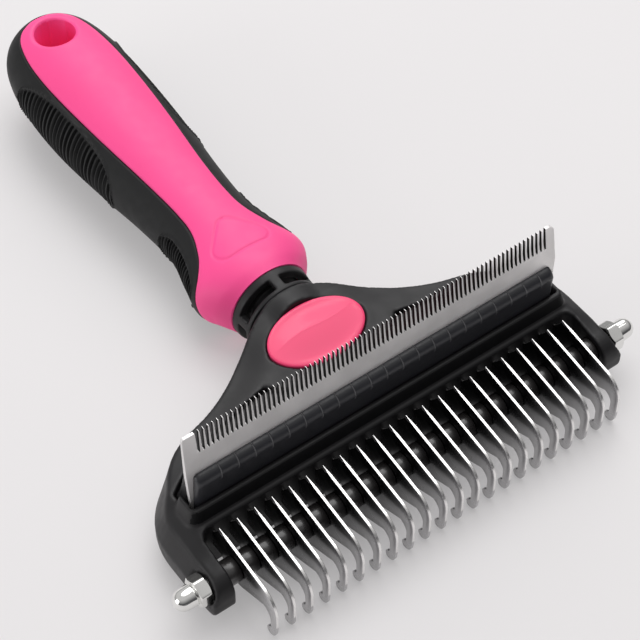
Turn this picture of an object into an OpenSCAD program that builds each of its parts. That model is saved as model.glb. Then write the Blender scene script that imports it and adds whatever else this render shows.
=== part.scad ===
// Undercoat rake: a T-shaped pet comb with hooked rake blades below and a fine comb above.
// X runs along the head, +Y towards the handle's tail and +Z up. The tool lies on a flat
// surface on its rake tips and the belly of its handle, with the origin at the centre of
// its footprint. Lengths along Y are first given as stations, counted from the rake tips.

/* [Rake] */
// Number of rake blades
blade_count = 22; // [16:1:22]
// Distance from one rake blade to the next
blade_pitch = 4.5; // [4:0.1:4.6]
// Thickness of a rake blade
blade_t = 0.9; // [0.6:0.1:1.2]
// Outer diameter of the spacer tubes
spacer_d = 6; // [5.4:0.2:7]

/* [Comb] */
// Distance from one fine tooth to the next
tooth_pitch = 1.18; // [1.1:0.02:1.6]
// Depth of the gaps between the fine teeth
gap_depth = 5.8; // [4:0.2:6.4]
// Thickness of the comb blade
comb_t = 1; // [0.8:0.1:1.2]
// Height of the comb's tips above the surface that the tool lies on
comb_top = 40.5; // [39:0.5:42]

/* [Head] */
// Wall between the bay and the outer side of an arm
arm_t = 5.5; // [5:0.25:7]
// Height of the head's top plate
plate_z = 17.2; // [16.8:0.1:17.6]
// Half the badge's length
badge_a = 12.1; // [10:0.1:12.4]
// Half the badge's width
badge_b = 8.4; // [7:0.1:8.6]

/* [Handle] */
// How far the black grip sinks into the core
grip_t = 2.2; // [1.6:0.1:2.6]
// Radius of the hang hole
hole_r = 5.5; // [4.5:0.1:5.8]
// Roundness of the handle's cross-section, where 2 is an ellipse
section_n = 2.3; // [2:0.1:2.8]

/* [Hardware] */
// Diameter of the axle rod
axle_d = 4; // [3.6:0.1:4]
// Width of a cap nut across its flats
nut_af = 7; // [7:0.5:8]
// Running clearance of the cap nuts on the rod, and of holes on their pins, per side
play = 0.05; // [0.03:0.01:0.08]

/* [Hidden] */
$fn = 64;

// Stations along the tool, from the rake tips' line
front_s = -2.02;
tail_s = 171.3;
mid_s = (front_s + tail_s) / 2;
axle_s = 12.3;
axle_z = 10.4;

// Head
rake_half = (blade_count - 1) / 2 * blade_pitch;
end_gap = 3.3;
bay_half = rake_half + blade_t / 2 + end_gap;
head_half = bay_half + arm_t;
bay_back_s = 20.8;
slot_depth = 1.8;
slot_z = 8;
slot_top_z = 15.4;
pad_z = 16.6;
arm_top_z = 14.8;
rim_z = plate_z + 3.2;
rim_front_s = 23.6;
neck_s = 61;
neck_r = 10.4;
neck_z = 10.8;
badge_s = 49.6;
badge_gap = 0.5;
badge_floor = plate_z - 1.9;

// Comb, its holder and its guard
comb_half = bay_half - 1.4;
flange_z = plate_z - 1.1;
pocket_z = plate_z - 2.9;
flange_front_s = 24.6;
flange_gap = 0.2;
comb_front_s = 25.85;
bend_z = 30.2;
low_lean = 0.06;
high_lean = 0.12;
guard_t = 1.2;
guard_top_z = 28.9;
guard_round = 2.4;
guard_half = comb_half - 0.4;
wedge_back_s = 31.6;
rib_count = 21;
rib_pitch = 4.4;
rib_rise = 0.25;
rib_w = 0.45;
peg_r = 1.2;
peg_z = 21.5;
peg_s = 20;
peg_end_s = 29.8;
peg_xs = [-40, -20, 0, 20, 40];
screw_xs = [-38, -14, 14, 38];
screw_s = 29.2;
screw_r = 1.1;
screw_head_r = 2.6;
screw_head_z = 4.6;
screw_tip_z = 19;

// Neck and handle joint
collar_s = 67.3;
collar_wall = 2;
tang_w = 12;
tang_h = 9;
tang_end_s = 100;
pin_s = 88;
pin_r = 1.5;
pin_half = 9;

// Hardware
nut_seat = head_half - 1.6;
nut_hex_h = 3.2;
nut_h = 8;
dome_r = nut_af / 2 - 0.25;
rod_half = nut_seat + 5.4;
spot_r = 4.6;

// Handle: station, half width, top and bottom of the cross-section
handle_form = [
    [67.3, 10.9, 21.6, 0.5],
    [70.5, 14.6, 22.1, 0.3],
    [75, 15.8, 22.3, 0.3],
    [82, 14.3, 22.3, 1.3],
    [91, 13.0, 22.5, 2.5],
    [104, 13.9, 23.2, 2.3],
    [120, 15.3, 24.9, 0.8],
    [138, 16.2, 26.6, 0],
    [152, 15.6, 27.3, 1.3],
    [162, 13.0, 27.3, 4.8],
    [168, 9.0, 26.2, 9],
    [170.4, 5.0, 23.6, 12.6],
    [171.3, 1.0, 19.0, 17]
];
// Station and half angle, from the top, of the core's bare surface between the grip's edges
bare_form = [
    [70.5, 176],
    [72.5, 128],
    [74.2, 95],
    [77.7, 55],
    [84.6, 35.5],
    [93.7, 29],
    [111.5, 31],
    [129.9, 35.5],
    [149.8, 38],
    [160.8, 36],
    [166.5, 30],
    [168.6, 12],
    [169.4, 3]
];
core_stations = [
    67.3, 68, 69, 70.5, 71.5, 72.5, 74.2, 76, 78, 81, 84.6, 89, 94, 100, 106, 112, 120, 128,
    136, 144, 151, 157, 162, 165.5, 168, 169
];
tail_stations = [169, 170, 170.8, 171.3];
bare_rise = 0.15;
bare_start_s = 71.5;
bare_end_s = 168.6;
hole_s = 159.3;
hole_rim = 0.9;

blade_names = [for (i = [1:blade_count]) str("rake_blade_", i < 10 ? "0" : "", i)];
spacer_names = [for (i = [1:blade_count - 1]) str("spacer_", i < 10 ? "0" : "", i)];

// Points of a circle's arc, from angle a0 to a1
function arc(centre, r, a0, a1, steps = 12) =
    [for (i = [0:steps]) let(a = a0 + (a1 - a0) * i / steps) centre + r * [cos(a), sin(a)]];

// Points of a cubic Bezier curve
function bezier(a, b, c, d, steps = 12) = [
    for (i = [0:steps]) let(t = i / steps, u = 1 - t)
        u * u * u * a + 3 * u * u * t * b + 3 * u * t * t * c + t * t * t * d
];

// A half outline at positive X, closed with its mirror image
function both_sides(half) = concat(
    half,
    [for (i = [len(half) - 1:-1:0]) [-half[i][0], half[i][1]]]
);

function rounded_rect(x, y0, y1, r) = concat(
    arc([x - r, y1 - r], r, 0, 90, 6),
    arc([r - x, y1 - r], r, 90, 180, 6),
    arc([r - x, y0 + r], r, 180, 270, 6),
    arc([x - r, y0 + r], r, 270, 360, 6)
);

function ellipse(a, b, steps = 48) =
    [for (i = [0:steps - 1]) let(t = 360 * i / steps) [a * cos(t), b * sin(t)]];

// Smooth curve through the rows of a table: column col at x
function slope(rows, i, col) =
    let(a = max(i - 1, 0), b = min(i + 1, len(rows) - 1))
    (rows[b][col] - rows[a][col]) / (rows[b][0] - rows[a][0]);
function through(rows, x, col, i = 0) =
    x > rows[i + 1][0] && i < len(rows) - 2
        ? through(rows, x, col, i + 1)
        : let(
            h = rows[i + 1][0] - rows[i][0],
            t = min(max((x - rows[i][0]) / h, 0), 1),
            a = rows[i][col],
            b = rows[i + 1][col]
        )
        (2 * t * t * t - 3 * t * t + 1) * a + (t * t * t - 2 * t * t + t) * h * slope(rows, i, col)
            + (3 * t * t - 2 * t * t * t) * b + (t * t * t - t * t) * h * slope(rows, i + 1, col);

// From station to frame
module placed() {
    translate([0, -mid_s, 0]) children();
}

// Extrudes a profile drawn in station and height along X, from x0 to x1
module along_x(x0, x1) {
    translate([x0, 0, 0]) rotate([90, 0, 90]) linear_extrude(x1 - x0) children();
}

// A round bar along X on the axle's line
module axle_bar(r, x0, x1) {
    translate([x0, axle_s, axle_z]) rotate([0, 90, 0]) cylinder(r = r, h = x1 - x0);
}

// A round bar along Y on the neck's line
module neck_bar(r, s0, s1) {
    translate([0, s0, neck_z]) rotate([-90, 0, 0]) cylinder(r = r, h = s1 - s0);
}

// A closed skin through rings that all have the same number of points. The end caps are fans
// about their centres, or strips where the ring is a channel's outer arc and inner arc back.
module loft(rings, channel = false) {
    n = len(rings[0]);
    last = (len(rings) - 1) * n;
    first_centre = len(rings) * n;
    sides = [
        for (i = [0:len(rings) - 2], j = [0:n - 1])
            let(a = i * n + j, b = i * n + (j + 1) % n)
            each [[a, b, a + n], [b, b + n, a + n]]
    ];
    fans = [
        for (j = [0:n - 1])
            let(k = (j + 1) % n)
            each [[k, j, first_centre], [last + j, last + k, first_centre + 1]]
    ];
    strips = [
        for (j = [0:n / 2 - 2])
            let(k = n - 1 - j)
            each [
                [j + 1, j, k], [j + 1, k, k - 1],
                [last + j, last + j + 1, last + k], [last + j + 1, last + k - 1, last + k]
            ]
    ];
    centres = [for (ring = [rings[0], rings[len(rings) - 1]]) [for (axis = [0:2])
        [for (p = ring) p[axis]] * [for (p = ring) 1 / n]]];
    polyhedron(
        points = concat([for (ring = rings) each ring], channel ? [] : centres),
        faces = concat(sides, channel ? strips : fans)
    );
}

// One point of the handle's cross-section at angle a from the top, moved out by grow
function on_section(s, a, grow) =
    let(
        w = through(handle_form, s, 1) + grow,
        top = through(handle_form, s, 2) + grow,
        low = through(handle_form, s, 3) - grow,
        e = 2 / section_n,
        x = sign(sin(a)) * pow(abs(sin(a)), e),
        z = sign(cos(a)) * pow(abs(cos(a)), e)
    )
    [w * x, s, (top + low) / 2 + (top - low) / 2 * z];

// The core's ring at a station: a bare arc on top that stands slightly proud, and a covered
// arc that lies deeper by the grip's thickness
bare_points = 15;
covered_points = 25;
edge_angle = 1.5;
function bare_half(s) = through(bare_form, min(max(s, 70.5), 169.4), 1);
function covered_arc(s, grow) =
    let(half = bare_half(s) + edge_angle)
    [for (i = [0:covered_points - 1])
        on_section(s, half + (360 - 2 * half) * i / (covered_points - 1), grow)];
function bare_arc(s, grow) =
    let(half = bare_half(s))
    [for (i = [0:bare_points - 1]) on_section(s, half * (2 * i / (bare_points - 1) - 1), grow)];

module core_loft() {
    loft([
        for (s = core_stations) concat(
            bare_arc(s, s > bare_end_s ? -grip_t : bare_rise),
            covered_arc(s, s < bare_start_s ? bare_rise : -grip_t)
        )
    ]);
}

module handle_core() {
    top = through(handle_form, hole_s, 2);
    color("hotpink") placed() difference() {
        core_loft();
        translate([0, hole_s, -1]) cylinder(r = hole_r, h = 40);
        translate([0, hole_s, top - hole_rim])
            cylinder(r1 = hole_r, r2 = hole_r + 3 * hole_rim, h = 3 * hole_rim);
        // Socket for the head's tang
        translate([-tang_w / 2 - play, collar_s - 1, neck_z - tang_h / 2 - play])
            cube([tang_w + 2 * play, tang_end_s - collar_s + 2, tang_h + 2 * play]);
        // Cross pin
        translate([-pin_half, pin_s, neck_z]) rotate([0, 90, 0])
            cylinder(r = pin_r, h = 2 * pin_half);
    }
}

// Overmoulded skin around the core's sides and belly, closed over the tail
module handle_grip() {
    channel = [for (s = core_stations) if (s >= bare_start_s) s];
    color([0.16, 0.17, 0.17]) placed() difference() {
        union() {
            loft([
                for (s = channel) concat(
                    covered_arc(s, 0),
                    [for (i = [covered_points - 1:-1:0]) covered_arc(s, -grip_t)[i]]
                )
            ], channel = true);
            loft([for (s = tail_stations) [for (i = [0:47]) on_section(s, 7.5 * i, 0)]]);
        }
        translate([0, hole_s, -1]) cylinder(r = hole_r, h = plate_z);
    }
}

module tang_pin() {
    color("silver") placed()
        translate([-pin_half, pin_s, neck_z]) rotate([0, 90, 0])
            cylinder(r = pin_r - play, h = 2 * pin_half);
}

// A round bar along Y that locates the comb, at x
module peg(x, r, s0, s1) {
    translate([x, s0, peg_z]) rotate([-90, 0, 0]) cylinder(r = r, h = s1 - s0);
}

// Plan of the head: shoulders that sweep out from the neck and turn into the arms
module head_plan() {
    polygon(both_sides(concat(
        [[neck_r, neck_s]],
        bezier([neck_r, neck_s], [12, 54], [22, 50], [0.655 * head_half, 43.5]),
        bezier(
            [0.655 * head_half, 43.5], [0.85 * head_half, 40.5], [head_half, 35], [head_half, 24]
        ),
        [[head_half, 17], [head_half - 1.2, 9], [head_half - 2, 3]]
    )));
}

// Side view of the head: rounded arm ends, pad, plate and the rise to the neck
module head_side() {
    arm_r = 5.9;
    arm_centre = [axle_s + 0.6, arm_top_z - arm_r];
    polygon(concat(
        arc(arm_centre, arm_r, 90, 250, 16),
        [[bay_back_s, 3.4], [32, 2.6], [54, 1.6], [neck_s, neck_z - neck_r]],
        [[neck_s, neck_z + neck_r], [60.2, neck_z + neck_r - 0.4]],
        [[57.5, plate_z + 1], [55, plate_z + 0.5], [50, plate_z], [26, plate_z]],
        [[25.4, pad_z], [19, pad_z], [16, 0.6 * arm_top_z + 0.4 * pad_z]]
    ));
}

// Front view of the head: side walls with draft and a top that falls towards the arms
module head_front() {
    polygon(both_sides([
        [head_half - 1.5, 0], [head_half - 0.4, 4], [head_half, 9], [head_half - 2, arm_top_z],
        [head_half - 6, pad_z + 0.1], [40, plate_z - 0.2], [28, plate_z], [20, 2 * plate_z]
    ]));
}

module plinth() {
    translate([0, 0, pocket_z])
        linear_extrude(rim_z - pocket_z) polygon(rounded_rect(bay_half + 0.9, rim_front_s, 32, 2.4));
}

// Plan of the comb holder's flange: its rear edge runs parallel to the shoulders
module flange_plan(grow) {
    half = comb_half + 0.4 + grow;
    difference() {
        polygon(both_sides(concat(
            bezier([19, 44.3 + grow], [30, 41.5 + grow], [40, 39 + grow], [half, 31.4 + grow]),
            [[half, flange_front_s - grow]]
        )));
        translate([0, badge_s]) polygon(ellipse(badge_a + 3 - grow, badge_b + 3 - grow));
    }
}

module tang() {
    translate([-tang_w / 2, neck_s - 1, neck_z - tang_h / 2])
        cube([tang_w, tang_end_s - neck_s, tang_h]);
}

module head_frame() {
    color([0.23, 0.22, 0.23]) placed() difference() {
        union() {
            intersection() {
                linear_extrude(40) head_plan();
                along_x(-head_half, head_half) head_side();
                translate([0, 80, 0]) rotate([90, 0, 0]) linear_extrude(80) head_front();
            }
            plinth();
            neck_bar(neck_r - collar_wall - play, neck_s - 1, collar_s - 0.1);
            tang();
        }
        // Bay for the rake, with rounded corners
        translate([0, 0, -1]) linear_extrude(40)
            polygon(rounded_rect(bay_half, -20, bay_back_s, 3));
        for (i = [0:blade_count - 1])
            translate([-rake_half + i * blade_pitch - blade_t / 2 - play, bay_back_s - 1, slot_z])
                cube([blade_t + 2 * play, slot_depth + 1, slot_top_z - slot_z]);
        // Axle holes and the nuts' spot faces
        axle_bar(axle_d / 2 + play, -70, 70);
        for (side = [0, 1]) mirror([side, 0, 0]) axle_bar(spot_r, nut_seat, head_half + 1);
        // Pocket for the comb's holder
        translate([0, 0, pocket_z]) linear_extrude(20) flange_plan(flange_gap);
        translate([0, badge_s, badge_floor]) linear_extrude(20)
            polygon(ellipse(badge_a + badge_gap, badge_b + badge_gap));
        for (x = screw_xs) translate([x, screw_s, 0]) {
            translate([0, 0, -1]) cylinder(r = screw_r + 0.2, h = 30);
            translate([0, 0, -1]) cylinder(r = screw_head_r + 0.4, h = screw_head_z + 1.01);
        }
        // Cross pin through the tang
        translate([-20, pin_s, neck_z]) rotate([0, 90, 0]) cylinder(r = pin_r, h = 40);
    }
}

// Caged ring between the head and the handle
module neck_collar() {
    window_spans = [[7, 69], [81, 172], [188, 279], [291, 353]];
    color([0.19, 0.19, 0.2]) placed() difference() {
        neck_bar(neck_r, neck_s, collar_s);
        neck_bar(neck_r - collar_wall, neck_s - 1, collar_s + 1);
        for (span = window_spans)
            translate([0, neck_s + 1.5, neck_z]) rotate([-90, 0, 0]) linear_extrude(3.3)
                polygon(concat(
                    [[0, 0]],
                    [for (a = [span[0]:(span[1] - span[0]) / 8:span[1] + 0.1]) 20 * [-sin(a), -cos(a)]]
                ));
    }
}

module badge() {
    crown = 1.5;
    foot = 1.1;
    layers = 6;
    rings = concat(
        [[for (p = ellipse(badge_a, badge_b)) [p[0], badge_s + p[1], badge_floor]]],
        [for (i = [0:layers])
            let(t = 80 * i / layers, k = cos(t), z = badge_floor + foot + crown * sin(t))
            [for (p = ellipse(badge_a, badge_b)) [k * p[0], badge_s + k * p[1], z]]]
    );
    color("palevioletred") placed() loft(rings);
}

// Front face of the comb blade at height z, as a station
function comb_face(z) = z < bend_z
    ? comb_front_s + low_lean * (z - flange_z)
    : comb_front_s + low_lean * (bend_z - flange_z) + high_lean * (z - bend_z);

module comb_holder() {
    back = comb_t + 0.02;
    color([0.2, 0.2, 0.21]) placed() difference() {
        union() {
            translate([0, 0, pocket_z]) linear_extrude(flange_z - pocket_z) flange_plan(0);
            along_x(-guard_half, guard_half) polygon([
                [comb_face(flange_z) + back, flange_z - 0.5],
                [wedge_back_s, flange_z - 0.5],
                [wedge_back_s, flange_z],
                [comb_face(bend_z) + back + 0.4, bend_z - 0.4],
                [comb_face(bend_z) + back, bend_z - 0.4]
            ]);
        }
        for (x = screw_xs)
            translate([x, screw_s, pocket_z - 1])
                cylinder(r = screw_r + play, h = screw_tip_z - pocket_z + 1.2);
        for (x = peg_xs) peg(x, peg_r + play, peg_s, peg_end_s + 0.1);
    }
}

// Section of the guard: straight front, rounded top, grown outwards by grow for the ribs
function guard_section(grow) =
    let(
        front = comb_front_s - guard_t - grow,
        top = guard_top_z + grow,
        depth = comb_face(guard_top_z) - front - 0.02
    )
    concat(
        [[comb_face(flange_z) - 0.02, flange_z], [front, flange_z]],
        [for (i = [0:8]) let(a = 90 * i / 8)
            [front + depth * (1 - cos(a)), top - guard_round + guard_round * sin(a)]]
    );

module comb_guard() {
    top_half = guard_half - 2;
    color([0.17, 0.17, 0.18]) placed() {
        intersection() {
            union() {
                along_x(-guard_half, guard_half) polygon(guard_section(0));
                for (i = [0:rib_count - 1])
                    let(x = (i - (rib_count - 1) / 2) * rib_pitch)
                    along_x(x - rib_w / 2, x + rib_w / 2) polygon(guard_section(rib_rise));
            }
            translate([0, 40, 0]) rotate([90, 0, 0]) linear_extrude(40) polygon([
                [-guard_half, 0], [guard_half, 0], [guard_half, 24],
                [top_half, guard_top_z + 1], [-top_half, guard_top_z + 1], [-guard_half, 24]
            ]);
        }
        for (x = peg_xs) peg(x, peg_r, comb_face(peg_z) - 0.5, peg_end_s);
    }
}

// Front view of the comb blade: rounded corners and wedge-shaped gaps
function comb_outline() =
    let(
        corner = 2,
        gaps = floor((2 * comb_half - 7) / tooth_pitch),
        mouth = 0.72,
        root = 0.34,
        z0 = comb_top - gap_depth
    )
    concat(
        [[-comb_half, flange_z]],
        arc([corner - comb_half, comb_top - corner], corner, 180, 90, 5),
        [for (i = [0:gaps - 1]) let(x = (i - (gaps - 1) / 2) * tooth_pitch)
            each [
                [x - mouth / 2, comb_top], [x - root / 2, z0],
                [x + root / 2, z0], [x + mouth / 2, comb_top]
            ]],
        arc([comb_half - corner, comb_top - corner], corner, 90, 0, 5),
        [[comb_half, flange_z]]
    );

module comb_blade() {
    color([0.66, 0.65, 0.64]) placed() difference() {
        intersection() {
            along_x(-comb_half, comb_half) polygon([
                [comb_face(flange_z), flange_z],
                [comb_face(bend_z), bend_z],
                [comb_face(comb_top), comb_top],
                [comb_face(comb_top) + comb_t, comb_top],
                [comb_face(bend_z) + comb_t, bend_z],
                [comb_face(flange_z) + comb_t, flange_z]
            ]);
            translate([0, 50, 0]) rotate([90, 0, 0]) linear_extrude(50) polygon(comb_outline());
        }
        for (x = peg_xs) peg(x, peg_r + play, peg_s, peg_end_s);
    }
}

// Pan-head screws that hold the comb's holder from below
module comb_screws() {
    color("silver") placed() for (x = screw_xs) translate([x, screw_s, 0]) {
        difference() {
            translate([0, 0, screw_head_z - 1.8]) cylinder(r = screw_head_r, h = 1.8);
            translate([0, 0, screw_head_z - 2]) cylinder(r = 1.2, h = 1.2, $fn = 6);
        }
        translate([0, 0, screw_head_z]) cylinder(r = screw_r, h = screw_tip_z - screw_head_z);
    }
}

module axle_rod() {
    color("silver") placed() axle_bar(axle_d / 2, -rod_half, rod_half);
}

// Side view of a rake blade: tail in the slot, broad root, finger and hooked tip
function blade_outline() =
    let(
        bend = [3.98, 8.78],
        bend_r = 6,
        finger_in = 0.1,
        tip = [0.2, 2.2],
        tip_r = 2.2,
        nub = [1.5, 1.05],
        nub_r = 0.95,
        root_r = 5.9,
        tail_end = bay_back_s + slot_depth - 0.2,
        tail_top = slot_top_z - 0.2,
        rise = 9.4,
        corner_s = 18.6,
        corner_z = bend[1] + bend_r / cos(rise) + tan(rise) * (corner_s - bend[0])
    )
    concat(
        [[tail_end, tail_top], [bay_back_s - 0.2, tail_top], [corner_s, corner_z]],
        arc(bend, bend_r, 90 + rise, 180, 10),
        arc(tip, tip_r, 180, 265, 8),
        arc(nub, nub_r, -80, 95, 10),
        arc([finger_in + 1.2, nub[1] + nub_r + 1.2], 1.2, 265, 180, 6),
        arc([finger_in + 2.8, 6], 2.8, 180, 105, 8),
        arc([axle_s, axle_z], root_r, 238, 340, 10),
        [[tail_end, axle_z + root_r * sin(340)]]
    );

module rake_blade(i) {
    x = -rake_half + i * blade_pitch;
    color([0.62, 0.62, 0.63]) placed() difference() {
        along_x(x - blade_t / 2, x + blade_t / 2) polygon(blade_outline());
        axle_bar(axle_d / 2 + play, x - blade_t, x + blade_t);
    }
}

module tube(x0, x1) {
    color([0.07, 0.07, 0.08]) placed() difference() {
        axle_bar(spacer_d / 2, x0, x1);
        axle_bar(axle_d / 2 + play, x0 - 1, x1 + 1);
    }
}

module spacer(i) {
    x = -rake_half + i * blade_pitch;
    tube(x + blade_t / 2, x + blade_pitch - blade_t / 2);
}

// Domed hexagon nut with a blind hole, turned so that its base faces the head
module cap_nut(side) {
    hole_depth = 6;
    dome = concat(
        [[0, nut_hex_h - 0.2], [dome_r, nut_hex_h - 0.2]],
        arc([0, nut_h - dome_r], dome_r, 0, 89.9, 12),
        [[0, nut_h]]
    );
    color("gainsboro") placed()
        translate([side * nut_seat, axle_s, axle_z]) rotate([0, side * 90, 0]) difference() {
            union() {
                cylinder(r = nut_af / 2 / cos(30), h = nut_hex_h, $fn = 6);
                rotate_extrude() polygon(dome);
            }
            translate([0, 0, -1]) cylinder(r = axle_d / 2 + play, h = hole_depth + 1);
        }
}

head_frame();
neck_collar();
tang_pin();
handle_core();
handle_grip();
badge();
comb_holder();
comb_guard();
comb_blade();
comb_screws();
axle_rod();
tube(-bay_half, -rake_half - blade_t / 2);  // end_spacer_left
tube(rake_half + blade_t / 2, bay_half);  // end_spacer_right
cap_nut(-1);  // cap_nut_left
cap_nut(1);  // cap_nut_right
for (i = [0:blade_count - 1]) rake_blade(i);
for (i = [0:blade_count - 2]) spacer(i);
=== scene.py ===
import math

import bmesh
import bpy
import numpy as np
from mathutils import Matrix, Vector
from mathutils.geometry import delaunay_2d_cdt


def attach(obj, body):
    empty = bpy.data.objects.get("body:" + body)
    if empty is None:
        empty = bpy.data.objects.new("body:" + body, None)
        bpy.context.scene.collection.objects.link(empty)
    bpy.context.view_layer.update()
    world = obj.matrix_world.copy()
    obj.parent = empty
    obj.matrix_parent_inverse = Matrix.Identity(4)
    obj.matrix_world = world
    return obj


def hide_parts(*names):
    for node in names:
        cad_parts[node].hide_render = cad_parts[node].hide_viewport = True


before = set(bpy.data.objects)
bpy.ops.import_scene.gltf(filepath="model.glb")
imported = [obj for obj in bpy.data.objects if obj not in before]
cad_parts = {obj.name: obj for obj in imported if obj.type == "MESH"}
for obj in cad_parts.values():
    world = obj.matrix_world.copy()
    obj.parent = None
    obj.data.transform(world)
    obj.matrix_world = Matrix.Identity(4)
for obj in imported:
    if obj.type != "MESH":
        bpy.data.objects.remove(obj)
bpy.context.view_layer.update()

# Lengths below are in millimetres. A point is given as x, station and height, where the
# station is counted along Y from the rake tips and MID is the station of the frame's origin.
MM = 0.001
MID = 84.64

BLADES = 22
PITCH = 4.5
BLADE_T = 0.9
RAKE_HALF = (BLADES - 1) / 2 * PITCH
AXLE_S, AXLE_Z = 12.3, 10.4
BORE_R = 2.05
BAY_HALF, BAY_BACK = 51.0, 20.8
HEAD_HALF = 57.0
NECK_Z = 10.8
NECK_R = 10.0
BADGE_S, BADGE_Z, BADGE_TILT = 48.6, 18.15, 0.16
FLANGE_Z = 16.1
POCKET_Z = 14.3
PLINTH_Z = 20.3
COMB_HALF = 49.25
COMB_TOP = 40.5
BEND_Z = 30.2
GUARD_TOP = 28.9


# ---------------------------------------------------------------- materials


class Finish:
    """A material's node tree with short calls to add and join nodes."""

    def __init__(self, name):
        self.material = bpy.data.materials.new(name)
        self.material.use_nodes = True
        self.tree = self.material.node_tree
        self.shader = self.tree.nodes["Principled BSDF"]
        self.place = self.add("ShaderNodeTexCoord").outputs["Object"]

    def add(self, kind, **props):
        node = self.tree.nodes.new(kind)
        for key, value in props.items():
            setattr(node, key, value)
        return node

    def put(self, socket, value):
        if isinstance(value, bpy.types.NodeSocket):
            self.tree.links.new(value, socket)
        else:
            socket.default_value = value

    def set(self, **values):
        for key, value in values.items():
            self.put(self.shader.inputs[key.replace("_", " ")], value)

    def noise(self, size_mm, detail=2.0, stretch=None, rough=0.5):
        """Noise whose blobs are about size_mm across, stretched along the axes by stretch."""
        place = self.place
        if stretch:
            turn = self.add("ShaderNodeMapping")
            self.put(turn.inputs["Vector"], place)
            turn.inputs["Scale"].default_value = [1 / k for k in stretch]
            place = turn.outputs["Vector"]
        node = self.add("ShaderNodeTexNoise")
        self.put(node.inputs["Vector"], place)
        node.inputs["Scale"].default_value = 1000 / size_mm
        node.inputs["Detail"].default_value = detail
        node.inputs["Roughness"].default_value = rough
        return node.outputs["Fac"]

    def ramp(self, value, low, high, start=0.3, end=0.7):
        """Maps a value between start and end to between two numbers or two colours."""
        if isinstance(low, (int, float)):
            node = self.add("ShaderNodeMapRange")
            for key, number in zip(
                ("Value", "From Min", "From Max", "To Min", "To Max"),
                (value, start, end, low, high),
            ):
                self.put(node.inputs[key], number)
            return node.outputs["Result"]
        node = self.add("ShaderNodeValToRGB")
        node.color_ramp.elements[0].position = start
        node.color_ramp.elements[1].position = end
        node.color_ramp.elements[0].color = (*low, 1)
        node.color_ramp.elements[1].color = (*high, 1)
        self.put(node.inputs["Fac"], value)
        return node.outputs["Color"]

    def bump(self, height, depth_um, strength=1.0, below=None):
        node = self.add("ShaderNodeBump")
        node.inputs["Strength"].default_value = strength
        node.inputs["Distance"].default_value = depth_um * 1e-6
        self.put(node.inputs["Height"], height)
        if below is not None:
            self.put(node.inputs["Normal"], below)
        return node.outputs["Normal"]


def shade(colour, factor):
    return tuple(min(1.0, c * factor) for c in colour)


def moulded(name, colour, rough, grain_mm=0.5, grain_um=6.0, mottle=0.08, **extra):
    """Moulded plastic or rubber: a fine eroded grain, slow waviness and uneven gloss."""
    f = Finish(name)
    slow = f.noise(14, 2)
    wave = f.bump(f.noise(9, 1), 30, 0.5)
    f.set(
        Base_Color=f.ramp(slow, shade(colour, 1 - mottle), shade(colour, 1 + mottle)),
        Roughness=f.ramp(f.noise(3, 3), rough - 0.05, rough + 0.06),
        Normal=f.bump(f.noise(grain_mm, 3), grain_um, 0.7, wave),
        **extra,
    )
    return f.material


def steel(name, colour, rough, along, scratch_um=3.0, metallic=1.0):
    """Ground steel: fine scratches that run along one axis, and cloudy roughness."""
    f = Finish(name)
    stretch = [1.0, 1.0, 1.0]
    stretch[along] = 30.0
    lines = f.noise(0.25, 2, stretch)
    clouds = f.noise(6, 2)
    f.set(
        Base_Color=f.ramp(clouds, shade(colour, 0.93), shade(colour, 1.05)),
        Metallic=metallic,
        Roughness=f.ramp(lines, rough - 0.06, rough + 0.08),
        Normal=f.bump(lines, scratch_um, 0.6),
    )
    return f.material


def rake_face():
    """Polished blade faces with painted shade: the colour darkens from the hooks to where they
    stand in the bay.
    """
    f = Finish("rake steel painted bay shade")
    parts = f.add("ShaderNodeSeparateXYZ")
    f.put(parts.inputs["Vector"], f.place)
    clouds = f.noise(6, 2)
    # Painted shade: the base colour goes from light steel at the hook tips to near black inside
    # the bay
    bay_shade = f.ramp(parts.outputs["Y"], 0.0, 1.0, (-0.5 - MID) * MM, (9.0 - MID) * MM)
    lines = f.noise(0.25, 2, [1, 1, 30])
    f.set(
        Base_Color=f.ramp(bay_shade, (0.52, 0.515, 0.52), (0.035, 0.034, 0.036), 0.0, 1.0),
        Metallic=0.9,
        Roughness=f.ramp(clouds, 0.24, 0.32),
        Normal=f.bump(lines, 2.0, 0.4),
    )
    return f.material


HEAD = moulded("head plastic", (0.0125, 0.012, 0.013), 0.44, 0.45, 5, Specular_IOR_Level=0.32)
DARK = moulded("guard plastic", (0.020, 0.0205, 0.025), 0.36, 0.6, 4)
# Painted shade: a near-black copy of the head plastic for the plinth's front wall
SHADE = moulded("plinth wall painted shade", (0.0035, 0.0035, 0.004), 0.5, 0.6, 4, Specular_IOR_Level=0.12)
# Painted highlight: a lighter plastic for thin lines along the guard's ribs
RIB = moulded("guard rib painted highlight", (0.10, 0.10, 0.105), 0.45, 0.6, 4)
PINK = moulded("pink plastic", (1.0, 0.074, 0.300), 0.50, 0.6, 4, 0.02, Specular_IOR_Level=0.45)
RUBBER = moulded("grip rubber", (0.0065, 0.0068, 0.0072), 0.58, 0.35, 9, Specular_IOR_Level=0.32)
BADGE = moulded(
    "badge gloss", (0.92, 0.062, 0.185), 0.20, 1.5, 1.5, 0.015, Coat_Weight=0.12,
    Coat_Roughness=0.05, Specular_IOR_Level=0.3,
)
COMB = steel("comb steel", (0.78, 0.765, 0.76), 0.42, 0, metallic=0.55)
# Painted shade: a near-black steel for the walls between the comb's teeth
GAP_SHADE = steel("comb gap painted shade", (0.025, 0.024, 0.024), 0.6, 2)
RAKE = rake_face()
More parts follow.
